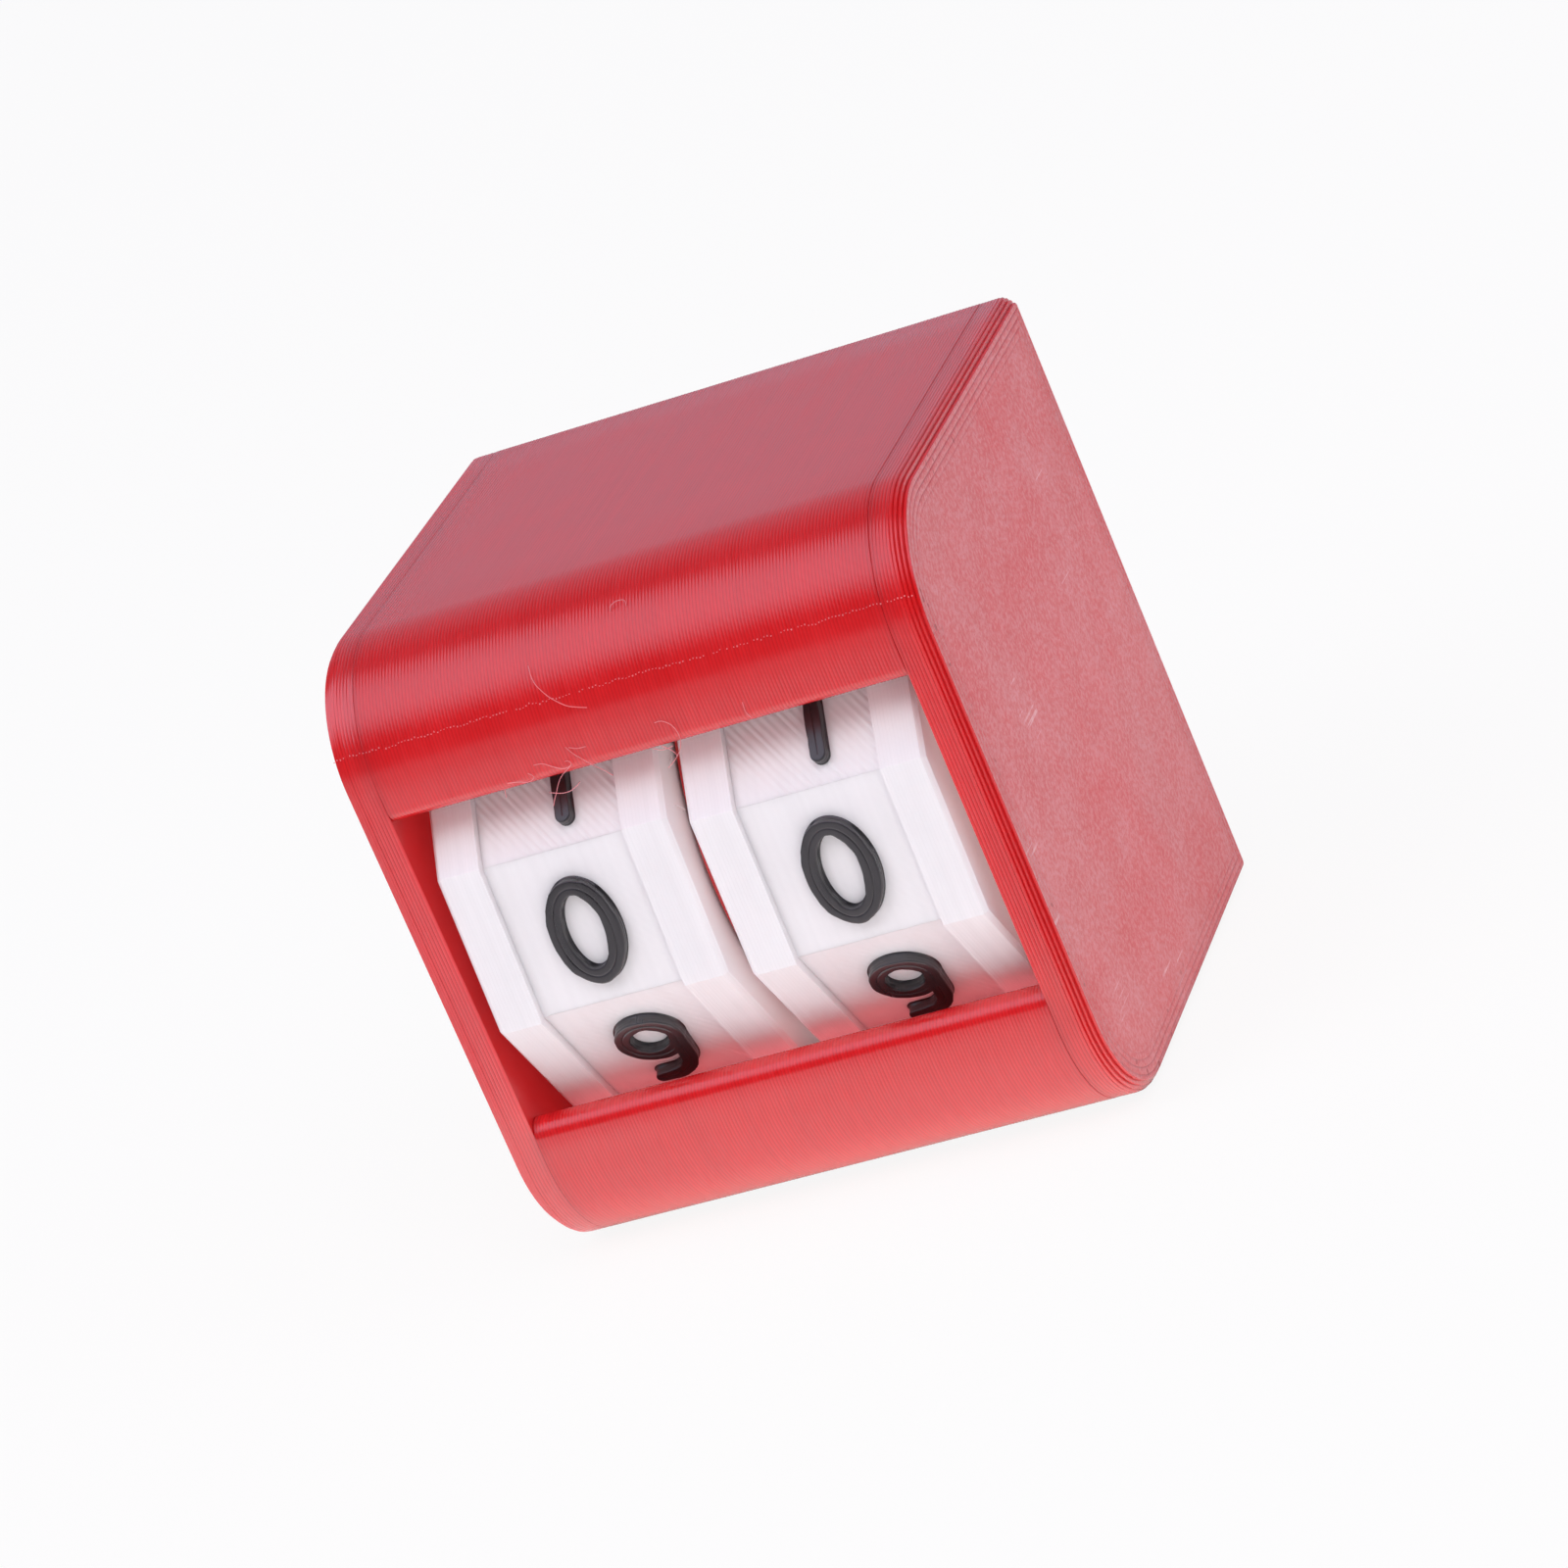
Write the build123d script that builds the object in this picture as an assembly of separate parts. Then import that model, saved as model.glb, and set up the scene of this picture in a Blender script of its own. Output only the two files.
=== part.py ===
"""Score counter: a small red box with two white ten-sided number dials on one axle.

The box is a wrap of constant section closed by two end plates. A fixed click disc on the
keyed axle parts the dials, and ten printed tiles with raised digits line each dial.
Units are millimetres. X runs along the axle, the front faces -Y, and Z is up. The origin
is the centre of the box's bottom face.
"""

from build123d import *
import math
import os

# Dials: flat sides are measured from the axle's centre line
side_count = 10
rim_apothem = 14.45          # flats of the two proud rims
band_apothem = 13.9          # flats of the tiles between the rims
dial_width = 14.0
band_width = 8.7
rim_edge_chamfer = 0.25
tile_thickness = 1.2
tile_gap = 0.05              # from a tile to its neighbours and to the rims
left_dial_turn = 4.0         # degrees that the left dial's 0 looks up at rest
right_dial_turn = 1.8

# Digits, raised on the tiles
digit_height = 6.1
digit_width = 4.0
digit_stroke = 0.95
digit_rise = 0.6
digit_drop = 0.3             # digits sit this far below the middle of their tiles
digit_shift = 0.08           # and this far to the right of it

# Axle and click disc
axle_diameter = 6.0
axle_flat = 2.2              # from the axle's centre to its flat
running_gap = 0.08           # radial, between axle and dial bore
key_gap = 0.05               # between the axle and what it is keyed into
disc_diameter = 24.6
disc_thickness = 0.8
disc_gap = 0.2               # between the disc and a dial
disc_rim = 0.7               # left outside the slots that free the tongues
tongue_width = 3.2
tongue_slot = 0.7
tongue_root_wall = 2.2       # left between the axle and the tongues' roots
bump_inset = 1.6             # from a tongue's tip to the middle of its bump
bump_diameter = 1.2
bump_height = 0.15
right_bump_turn = 0.0        # degrees from the top; each dial has a second bump opposite
left_bump_turn = 90.0
dimple_diameter = 1.8
dimple_depth = 0.3

# Box: walls, and the room it leaves round the dials
wall = 1.6
plate_thickness = 2.0
front_overhang = 0.95        # dial corners stand this far out of the front
back_room = 1.95
floor_room = 2.2
top_room = 1.7
end_gap = 0.9                # between a dial and an end plate
window_room = 0.65           # from dial corners to the window's inner edges
top_front_radius = 6.8
bottom_front_radius = 7.0
back_radius = 0.8
least_radius = 0.3
lip_radius = 0.7             # rounding of the window's two edges
plate_chamfer = 0.6

# End plates: boss and socket for the axle, and the rib that locates the wrap
boss_diameter = 11.0
boss_gap = 0.2               # between a boss and its dial
socket_depth = 1.7
socket_end_gap = 0.1
rib_width = 1.0
rib_depth = 1.5
rib_gap = 0.1                # between the rib and the wrap's inside
rib_setback = 8.0            # the rib stops this far behind the box's front

# Sizes that follow
facet_angle = 360 / side_count
half_facet = math.radians(facet_angle / 2)
rim_corner = rim_apothem / math.cos(half_facet)
shell_length = disc_thickness + 2 * (disc_gap + dial_width + end_gap)
depth = wall + back_room + 2 * rim_corner - front_overhang
height = 2 * wall + floor_room + 2 * rim_corner + top_room
axle_y = rim_corner - front_overhang - depth / 2
axle_z = wall + floor_room + rim_corner
dial_x = disc_thickness / 2 + disc_gap + dial_width / 2
axle_radius = axle_diameter / 2
tongue_root = axle_radius + tongue_root_wall
tongue_tip = disc_diameter / 2 - disc_rim - tongue_slot
click_radius = tongue_tip - bump_inset
on_axle = Pos(0, axle_y, axle_z)


def ten_sided(apothem):
    """Face in the YZ plane round the axle, with one flat side to the front."""
    corner = apothem / math.cos(half_facet)
    return Plane.YZ * RegularPolygon(corner, side_count, rotation=facet_angle / 2)


def bar(face, length):
    """Solid of a YZ face, centred on X."""
    return extrude(face, length / 2, both=True)


def keyed_face(gap):
    """D-shaped section of the axle in the YZ plane, grown by gap all round."""
    radius = axle_radius + gap
    flat_y = axle_flat + gap
    cut = Pos(flat_y + radius, 0) * Rectangle(2 * radius, 4 * radius)
    return Plane.YZ * (Circle(radius) - cut)


def box_section(inset):
    """Outline of the box in the YZ plane, moved inwards by inset."""
    front, back = inset - depth / 2, depth / 2 - inset
    low, high = inset, height - inset
    section = Polygon((front, low), (back, low), (back, high), (front, high), align=None)
    corners = (
        (front, high, top_front_radius),
        (front, low, bottom_front_radius),
        (back, low, back_radius),
        (back, high, back_radius),
    )
    for y, z, radius in corners:
        corner = section.vertices().sort_by_distance((y, z, 0))[0]
        section = fillet(corner, max(radius - inset, least_radius))
    return section


def window_edges():
    """Heights of the window's lower and upper edge, just clear of the turning dials."""
    inner_front = depth / 2 - wall + axle_y
    reach = math.sqrt((rim_corner + window_room) ** 2 - inner_front ** 2)
    return axle_z - reach, axle_z + reach


def make_shell():
    """Wrap of top, back, floor, lower lip and visor, with the window in its front."""
    low, high = window_edges()
    section = box_section(0) - box_section(wall)
    window = Pos(-depth / 2, (low + high) / 2) * Rectangle(4 * wall, high - low)
    section = section - window
    edges = [v for v in section.vertices() if min(abs(v.Y - low), abs(v.Y - high)) < 0.01]
    section = fillet(edges, min(lip_radius, 0.45 * wall))
    return bar(Plane.YZ * section, shell_length)


def make_right_end_plate():
    """Plate with a chamfered outer edge, a locating rib and the axle's socket."""
    inner_x = shell_length / 2
    plate = Pos(inner_x) * extrude(Plane.YZ * box_section(0), plate_thickness)
    outer_face = plate.faces().sort_by(Axis.X)[-1]
    plate = chamfer(outer_face.edges(), plate_chamfer)

    rib = box_section(wall + rib_gap) - box_section(wall + rib_gap + rib_width)
    front_part = Pos(-depth / 2, height / 2) * Rectangle(2 * rib_setback, 2 * height)
    rib = Plane.YZ * (rib - front_part)
    plate += Pos(inner_x - rib_depth) * extrude(rib, rib_depth)

    boss_height = end_gap - boss_gap
    boss = extrude(Plane.YZ * Circle(boss_diameter / 2), boss_height)
    plate += on_axle * Pos(inner_x - boss_height) * boss
    socket = extrude(keyed_face(key_gap), socket_depth)
    return plate - on_axle * Pos(inner_x - boss_height) * socket


def make_axle():
    """D-shaped rod that ends just short of the bottoms of both sockets."""
    boss_height = end_gap - boss_gap
    length = shell_length + 2 * (socket_depth - boss_height - socket_end_gap)
    return on_axle * bar(keyed_face(0), length)


def tongue_cut():
    """U-shaped slot that frees one tongue, pointing up from the axle."""
    length = tongue_tip - tongue_root
    slot = Rectangle(tongue_width + 2 * tongue_slot, length + tongue_slot)
    slot = Pos(0, tongue_root + (length + tongue_slot) / 2) * slot
    tongue = Pos(0, tongue_root + length / 2) * Rectangle(tongue_width, length)
    return bar(Plane.YZ * (slot - tongue), 2 * disc_thickness)


def click_stud(diameter, rise):
    """Low cone that stands on the YZ plane with its axis along +X."""
    up_from_plane = Align.CENTER, Align.CENTER, Align.MIN
    return Rot(0, 90) * Cone(diameter / 2, diameter / 4, rise, align=up_from_plane)


def make_click_disc():
    """Disc fixed on the axle between the dials, with two click tongues for each dial."""
    disc = bar(Plane.YZ * Circle(disc_diameter / 2), disc_thickness)
    disc -= bar(keyed_face(key_gap), 2 * disc_thickness)
    bump = Pos(disc_thickness / 2, 0, click_radius) * click_stud(bump_diameter, bump_height)
    for first_turn, facing in ((right_bump_turn, 0), (left_bump_turn, 180)):
        for turn in (first_turn, first_turn + 180):
            disc -= Rot(turn) * tongue_cut()
            disc += Rot(turn) * Rot(0, 0, facing) * bump
    return on_axle * disc


def make_dial_core(first_dimple_turn, inner_facing):
    """Ten-sided drum with two proud rims and click dimples in its inner side."""
    core = bar(ten_sided(rim_apothem), dial_width)
    ends = core.faces().filter_by(Axis.X)
    core = chamfer(ends.edges(), rim_edge_chamfer)
    band = ten_sided(rim_apothem + tile_thickness) - ten_sided(band_apothem - tile_thickness)
    core -= bar(band, band_width)
    core -= bar(Plane.YZ * Circle(axle_radius + running_gap), 2 * dial_width)
    dimple = Pos(-dial_width / 2, 0, click_radius) * click_stud(dimple_diameter, dimple_depth)
    for count in range(side_count):
        turn = first_dimple_turn + count * facet_angle
        core -= Rot(turn) * Rot(0, 0, inner_facing) * dimple
    return core


def make_tile():
    """White tile for the side that looks to the front, with mitred long edges."""
    outer_y, inner_y = -band_apothem, tile_thickness - band_apothem
    outer_half = band_apothem * math.tan(half_facet) - tile_gap / 2
    inner_half = (band_apothem - tile_thickness) * math.tan(half_facet) - tile_gap / 2
    section = Polygon(
        (outer_y, -outer_half),
        (inner_y, -inner_half),
        (inner_y, inner_half),
        (outer_y, outer_half),
        align=None,
    )
    return bar(Plane.YZ * section, band_width - 2 * tile_gap)


def stroke(*lines):
    """Line of even width with round ends along one path."""
    return SlotArc(Wire(Wire.combine(lines)[0].edges()), digit_stroke)


def ring(centre_height, half_width, half_height):
    """Closed oval stroke; the sizes are those of its middle line."""
    side = digit_stroke / 2
    outer = Ellipse(half_width + side, half_height + side)
    return Pos(0, centre_height) * (outer - Ellipse(half_width - side, half_height - side))


def digit_face(number):
    """Plain face of one digit, centred on its tile."""
    w = (digit_width - digit_stroke) / 2
    h = (digit_height - digit_stroke) / 2
    if number == 0:
        return ring(0, w, h)
    if number == 1:
        return stroke(Polyline((-0.35 * w, 0.55 * h), (0.58 * w, h), (0.58 * w, -h)))
    if number == 2:
        top = ThreePointArc((-w, 0.45 * h), (0.05 * w, h), (0.85 * w, 0.15 * h))
        return stroke(top, Polyline((0.85 * w, 0.15 * h), (-w, -h), (w, -h)))
    if number == 3:
        upper = stroke(CenterArc((0, 0.54 * h), 0.46 * h, 160, -250))
        lower = stroke(CenterArc((0, -0.46 * h), 0.54 * h, 90, -250))
        return upper + lower
    if number == 4:
        stem = stroke(Line((0.45 * w, h), (0.45 * w, -h)))
        return stem + stroke(Polyline((0.45 * w, h), (-w, -0.4 * h), (w, -0.4 * h)))
    if number == 5:
        flag = stroke(Polyline((0.85 * w, h), (-0.7 * w, h), (-0.85 * w, 0.1 * h)))
        return flag + stroke(ThreePointArc((-0.85 * w, 0.1 * h), (w, -0.35 * h), (-w, -0.75 * h)))
    if number == 6:
        return Rot(0, 0, 180) * digit_face(9)
    if number == 7:
        return stroke(Polyline((-w, h), (w, h), (-0.3 * w, -h)))
    if number == 8:
        return ring(0.52 * h, 0.8 * w, 0.48 * h) + ring(-0.48 * h, w, 0.52 * h)
    loop = Pos(0.03 * w) * ring(0.34 * h, 0.58 * h, 0.57 * h)
    stem = Line((0.03 * w + 0.57 * h, 0.34 * h), (0.78 * w, -0.55 * h))
    lean = math.degrees(math.atan((stem @ 0 - stem @ 1).X / (stem @ 0 - stem @ 1).Y))
    bend = JernArc(stem @ 1, stem % 1, 0.55 * h, lean - 90)
    return loop + stroke(stem, bend, Line(bend @ 1, (-0.6 * w, (bend @ 1).Y)))


def make_digit(number):
    """Raised digit for the side that looks to the front."""
    tile_plane = Plane((0, -band_apothem, 0), x_dir=(1, 0, 0), z_dir=(0, -1, 0))
    return extrude(tile_plane * Pos(digit_shift, -digit_drop) * digit_face(number), digit_rise)


def place_on_dial(piece, x, turn):
    """Piece modelled round the axle, moved to a dial and turned up by turn degrees."""
    return Pos(x, axle_y, axle_z) * Rot(-turn) * piece


def make_dial(side, core, x, turn):
    """All the pieces of one dial, named after its side of the box."""
    pieces = {side + "_dial_core": place_on_dial(core, x, turn)}
    for number in range(side_count):
        facet_turn = turn + number * facet_angle
        pieces[f"{side}_tile_{number}"] = place_on_dial(make_tile(), x, facet_turn)
        pieces[f"{side}_digit_{number}"] = place_on_dial(make_digit(number), x, facet_turn)
    return pieces


def make_parts():
    """Every node of the counter, by name."""
    right_end_plate = make_right_end_plate()
    parts = {
        "shell": make_shell(),
        "right_end_plate": right_end_plate,
        "left_end_plate": mirror(right_end_plate, about=Plane.YZ),
        "axle": make_axle(),
        "click_disc": make_click_disc(),
    }
    left_core = make_dial_core(left_bump_turn, 180)
    right_core = make_dial_core(right_bump_turn, 0)
    parts.update(make_dial("left", left_core, -dial_x, left_dial_turn))
    parts.update(make_dial("right", right_core, dial_x, right_dial_turn))
    return parts


os.makedirs("parts", exist_ok=True)
for name, piece in make_parts().items():
    export_step(piece, f"parts/{name}.step")
print("box", round(shell_length + 2 * plate_thickness, 2), round(depth, 2), round(height, 2))
print("axle at", round(axle_y, 3), round(axle_z, 3), "window", [round(z, 2) for z in window_edges()])
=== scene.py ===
"""Looks of the flip score counter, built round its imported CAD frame.

The sections follow the order in which the counter is put together: wrap, axle and click
disc, dial drums, tiles, digits, end plates, the print's leftovers, then the studio.
Lengths are written in millimetres and turned into metres with MM.
"""

import math

import bmesh
import bpy
from mathutils import Matrix, Vector


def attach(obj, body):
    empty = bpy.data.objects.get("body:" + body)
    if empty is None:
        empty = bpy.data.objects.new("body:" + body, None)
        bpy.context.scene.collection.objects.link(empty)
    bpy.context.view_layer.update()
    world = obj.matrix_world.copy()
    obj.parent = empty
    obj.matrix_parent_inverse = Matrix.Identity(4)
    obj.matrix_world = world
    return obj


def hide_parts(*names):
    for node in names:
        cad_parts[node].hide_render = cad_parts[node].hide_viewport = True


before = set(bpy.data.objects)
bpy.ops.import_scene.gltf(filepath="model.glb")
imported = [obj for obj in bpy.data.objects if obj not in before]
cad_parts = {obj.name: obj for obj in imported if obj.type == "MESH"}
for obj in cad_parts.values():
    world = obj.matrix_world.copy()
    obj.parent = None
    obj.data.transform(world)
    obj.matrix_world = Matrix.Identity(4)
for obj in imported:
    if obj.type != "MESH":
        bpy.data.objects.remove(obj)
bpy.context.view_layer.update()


# --------------------
# Wrap. One red print makes the visor, top, back, floor and front lip in a single
# C-shaped wall 1.6 mm thick. It was printed standing on one end, in 155 layers of
# 0.2 mm, so every layer runs round the whole C and shows as a fine line.
MM = 0.001
LAYER = 0.2
WRAP_END = 15.5
BOX_FRONT, BOX_BACK = -16.4936, 16.4936
BOX_TOP = 37.4873
WALL = 1.6
FRONT_TOP_RADIUS, FRONT_LOW_RADIUS, BACK_RADIUS = 6.8, 7.0, 0.8
WINDOW_LOW, WINDOW_HIGH = 9.4496, 28.5376
VISOR_RADIUS, LIP_FRONT_RADIUS, LIP_BACK_RADIUS, LEAST_RADIUS = 0.7, 1.0, 0.5, 0.3
ARC_STEPS = 4
GROOVE_DEPTH, SEAM_DEPTH = 0.02, 0.05
BEAD_SHAPE = ((0.0, 1.0), (0.18, 0.22), (0.5, 0.0), (0.82, 0.22))
MERGE_DISTANCE, RIPPLE_BIAS = 1e-7, 0.75
RED = (0.65, 0.0135, 0.017)
RED_DEPTH, RED_REACH = 0.5, (2.5, 0.2, 0.2)


def rounded_outline(corners, arc_step=5.0, run_step=4.2):
    """Closed outline through (y, z, radius) corners, clockwise: points and outward arrows."""
    points, arrows, ends = [], [], []
    for i in range(len(corners)):
        here = Vector(corners[i][:2])
        before = (here - Vector(corners[i - 1][:2])).normalized()
        after = (Vector(corners[(i + 1) % len(corners)][:2]) - here).normalized()
        turn = math.atan2(before.cross(after), before.dot(after))
        ends.append((here, before, after, turn, corners[i][2] * math.tan(abs(turn) / 2)))
    for i, (here, before, after, turn, cut) in enumerate(ends):
        radius = corners[i][2]
        start = here - before * cut
        steps = ARC_STEPS if radius else 1
        if radius > 1:
            steps = max(ARC_STEPS, round(abs(math.degrees(turn)) / arc_step))
        side = Vector((-before.y, before.x))
        for k in range(steps + 1):
            arrow = Matrix.Rotation(turn * k / steps, 2) @ side
            points.append(start + (side - arrow) * math.copysign(radius, turn))
            arrows.append(arrow)
        to, way, _, _, next_cut = ends[(i + 1) % len(ends)]
        last, goal = here + after * cut, to - way * next_cut
        pieces = int((goal - last).length / run_step) + 1
        for k in range(1, pieces):
            points.append(last.lerp(goal, k / pieces))
            arrows.append(Vector((-after.y, after.x)))
    return points, arrows


def stand(name, data):
    """New object in the scene that holds this data."""
    made = bpy.data.objects.new(name, data)
    bpy.context.scene.collection.objects.link(made)
    return made


def guide_object(name, points, arrows=None, rows=None, edges=()):
    """Points for a tree to read: an outline with arrows, rows with facts, or open lines."""
    mesh = bpy.data.meshes.new(name)
    mesh.from_pydata([[c * MM for c in p] for p in points], edges, [])
    if arrows:
        mesh.attributes.new("outward", "FLOAT_VECTOR", "POINT").data.foreach_set(
            "vector", [c * MM for a in arrows for c in a])
    if rows:
        for key, kind in (("reach", "FLOAT"), ("loose", "FLOAT"), ("layer", "INT")):
            mesh.attributes.new(key, kind, "POINT").data.foreach_set(
                "value", [row[key] for row in rows])
    return stand(name, mesh)


def node_tools(tree):
    """Short ways to add a node, or a step of arithmetic, to one tree."""
    def add(kind, inputs=None, **settings):
        made = tree.nodes.new(kind)
        for key, value in settings.items():
            setattr(made, key, value)
        for key, value in (inputs or {}).items():
            if isinstance(value, bpy.types.Node):
                value = next(s for s in value.outputs if s.enabled)
            if isinstance(value, bpy.types.NodeSocket):
                tree.links.new(value, made.inputs[key])
            else:
                made.inputs[key].default_value = value
        return made

    def calc(operation, first, second=0.0, third=0.0):
        return add("ShaderNodeMath", {0: first, 1: second, 2: third}, operation=operation)
    return add, calc


def noise(add, where, waves, detail, **more):
    """Noise with so many waves for a metre."""
    return add("ShaderNodeTexNoise", {
        "Vector": where, "Scale": waves, "Detail": detail, **more})


def remap(add, value, low, high, first=0.0, last=1.0):
    """Value moved from one range to another, and held between its ends."""
    return add("ShaderNodeMapRange", {
        "Value": value, "From Min": low, "From Max": high, "To Min": first, "To Max": last})


def vector(add, operation, first, other):
    """Vector arithmetic: a scale, or an operation on two vectors."""
    return add("ShaderNodeVectorMath", {
        0: first, "Scale" if operation == "SCALE" else 1: other}, operation=operation)


def shape_of(add, given_object):
    """Geometry of an object that a tree is given."""
    return add("GeometryNodeObjectInfo", {
        "Object": given_object, "As Instance": False}).outputs["Geometry"]


def blend(add, share, first, second):
    """Colour between two colours."""
    return add("ShaderNodeMix", {"Factor": share, 6: first, 7: second},
               data_type="RGBA").outputs[2]


def new_tree(name, sockets):
    """Geometry tree with named inputs, and the tools that add nodes to it."""
    tree = bpy.data.node_groups.new(name, "GeometryNodeTree")
    for label, kind in sockets.items():
        tree.interface.new_socket(name=label, in_out="INPUT", socket_type="NodeSocket" + kind)
    tree.interface.new_socket(name="Made", in_out="OUTPUT", socket_type="NodeSocketGeometry")
    return tree, tree.nodes.new("NodeGroupInput").outputs, *node_tools(tree)


def end_tree(given, add, geometry):
    """Realizes what a tree made, gives it its plastic, and hands it over."""
    plain = add("GeometryNodeRealizeInstances", {"Geometry": geometry})
    smooth = add("GeometryNodeSetShadeSmooth", {"Geometry": plain, "Shade Smooth": True})
    dressed = add("GeometryNodeSetMaterial", {"Geometry": smooth, "Material": given["Plastic"]})
    add("NodeGroupOutput", {"Made": dressed})


def printed_skin_tree():
    """Skin of a print: every row of points is the outline, moved along and in or out."""
    tree, given, add, calc = new_tree("Printed skin", {
        "Outline": "Object", "Rows": "Object", "Unevenness": "Float", "Ripple": "Float",
        "Ripple Size": "Float", "Seed": "Int", "Plastic": "Material"})
    outline, rows = (shape_of(add, given[label]) for label in ("Outline", "Rows"))
    column_count = add("GeometryNodeAttributeDomainSize", {"Geometry": outline})
    row_count = add("GeometryNodeAttributeDomainSize", {"Geometry": rows})
    closed = add("FunctionNodeIntegerMath", {0: column_count, 1: 1}, operation="ADD")
    grid = add("GeometryNodeMeshGrid", {"Vertices X": closed, "Vertices Y": row_count})
    index = add("GeometryNodeInputIndex")
    row = add("FunctionNodeIntegerMath", {0: index, 1: row_count}, operation="MODULO")
    column = add("FunctionNodeIntegerMath", {0: index, 1: row_count}, operation="DIVIDE_FLOOR")
    column = add("FunctionNodeIntegerMath", {0: column, 1: column_count}, operation="MODULO")

    def read(geometry, name, at, data_type):
        value = (add("GeometryNodeInputNamedAttribute", {"Name": name}, data_type=data_type)
                 if name else add("GeometryNodeInputPosition"))
        return add("GeometryNodeSampleIndex", {
            "Geometry": geometry, "Value": value, "Index": at}, data_type=data_type)

    place = vector(add, "ADD", read(outline, None, column, "FLOAT_VECTOR"),
                   read(rows, None, row, "FLOAT_VECTOR"))
    loose = read(rows, "loose", row, "FLOAT")
    uneven = add("FunctionNodeRandomValue", {
        2: -1.0, 3: 0.0, "ID": read(rows, "layer", row, "INT"), "Seed": given["Seed"]},
        data_type="FLOAT")
    uneven = calc("MULTIPLY", uneven, given["Unevenness"])
    ripple = noise(add, place, calc("DIVIDE", 1.0, given["Ripple Size"]), 2.0)
    ripple = calc("MULTIPLY", calc("SUBTRACT", ripple, RIPPLE_BIAS), given["Ripple"])
    stray = calc("MULTIPLY", calc("ADD", uneven, ripple), loose)
    reach = calc("ADD", read(rows, "reach", row, "FLOAT"), stray)
    push = vector(add, "SCALE", read(outline, "outward", column, "FLOAT_VECTOR"), reach)
    skin = add("GeometryNodeSetPosition", {
        "Geometry": grid, "Position": vector(add, "ADD", place, push)})
    skin = add("GeometryNodeMergeByDistance", {"Geometry": skin, "Distance": MERGE_DISTANCE})
    end_tree(given, add, skin)
    return tree


def freeze(made):
    """Keeps what a piece's modifier makes as its plain mesh."""
    graph = bpy.context.evaluated_depsgraph_get()
    mesh = bpy.data.meshes.new_from_object(made.evaluated_get(graph))
    made.modifiers.clear()
    made.data = mesh


def dress(made, *plastics):
    """Gives a piece these plastics in place of its own."""
    made.data.materials.clear()
    for plastic in plastics:
        made.data.materials.append(plastic)


def settle(name, tree, values):
    """Runs a tree on an empty object and keeps the result as its plain mesh."""
    made = stand(name, bpy.data.meshes.new(name))
    modifier = made.modifiers.new(tree.name, "NODES")
    modifier.node_group = tree
    for item in tree.interface.items_tree:
        if item.in_out == "INPUT" and item.name in values:
            modifier[item.identifier] = values[item.name]
    freeze(made)
    made.data.name = name
    dress(made, values["Plastic"])
    made.data.polygons.foreach_set("material_index", [0] * len(made.data.polygons))
    return made


def close_ends(made):
    """Fills the open ends of a skin with flat faces and turns every face outwards."""
    work = bmesh.new()
    work.from_mesh(made.data)
    ends = {}
    for edge in work.edges:
        if edge.is_boundary:
            ends.setdefault(round(edge.verts[0].co.x / MM), []).append(edge)
    for edges in ends.values():
        filled = bmesh.ops.triangle_fill(work, edges=edges, use_beauty=True)
        for face in filled["geom"]:
            if isinstance(face, bmesh.types.BMFace):
                face.smooth = False
    bmesh.ops.recalc_face_normals(work, faces=work.faces)
    if work.calc_volume(signed=True) < 0:
        bmesh.ops.reverse_faces(work, faces=work.faces)
    work.to_mesh(made.data)
    work.free()


def drop(*objects):
    """Takes guide objects away once their pieces are made."""
    for made in objects:
        bpy.data.objects.remove(made)


def layer_rows(first, count, direction=1, edge=()):
    """Rows of a print along X: each layer is a low round bead with a groove before it."""
    rows, places = [], []
    for layer in range(count + 1):
        place = layer - count + len(edge)
        step, depth = edge[place] if 0 <= place < len(edge) else (0, GROOVE_DEPTH)
        if layer in (0, count):
            depth = SEAM_DEPTH
        if layer == count and edge:
            step = edge[-1][0]
        for part, dip in BEAD_SHAPE if layer < count else BEAD_SHAPE[:1]:
            places.append((first + direction * LAYER * (layer + part), 0, 0))
            rows.append({"reach": -dip * depth - step, "loose": 1.0, "layer": layer})
    return places, rows


def layered_print(name, corners, layers, values):
    """Piece with one outline all along, printed layer on layer along X."""
    points, arrows = rounded_outline(corners)
    outline = guide_object(f"{name}_outline", [(0, *p) for p in points],
                           arrows=[(0, *a) for a in arrows])
    places, rows = layer_rows(*layers)
    row_guide = guide_object(f"{name}_rows", places, rows=rows)
    made = settle(name, skin_tree, {"Outline": outline, "Rows": row_guide, **values})
    close_ends(made)
    drop(outline, row_guide)
    return made


# Noises are sized in waves for a metre, and the drift is where two of them add up.
LAYER_WAVES, CLOUD_WAVES, SPECKLE_WAVES = (5000.0, 90.0, 90.0), 260.0, 9000.0
DRIFT, GLOSS_DRIFT, SPECKLE_HEIGHT, CREASE_POWER = (0.7, 1.3), 0.04, 0.0004, 5.0


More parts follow.
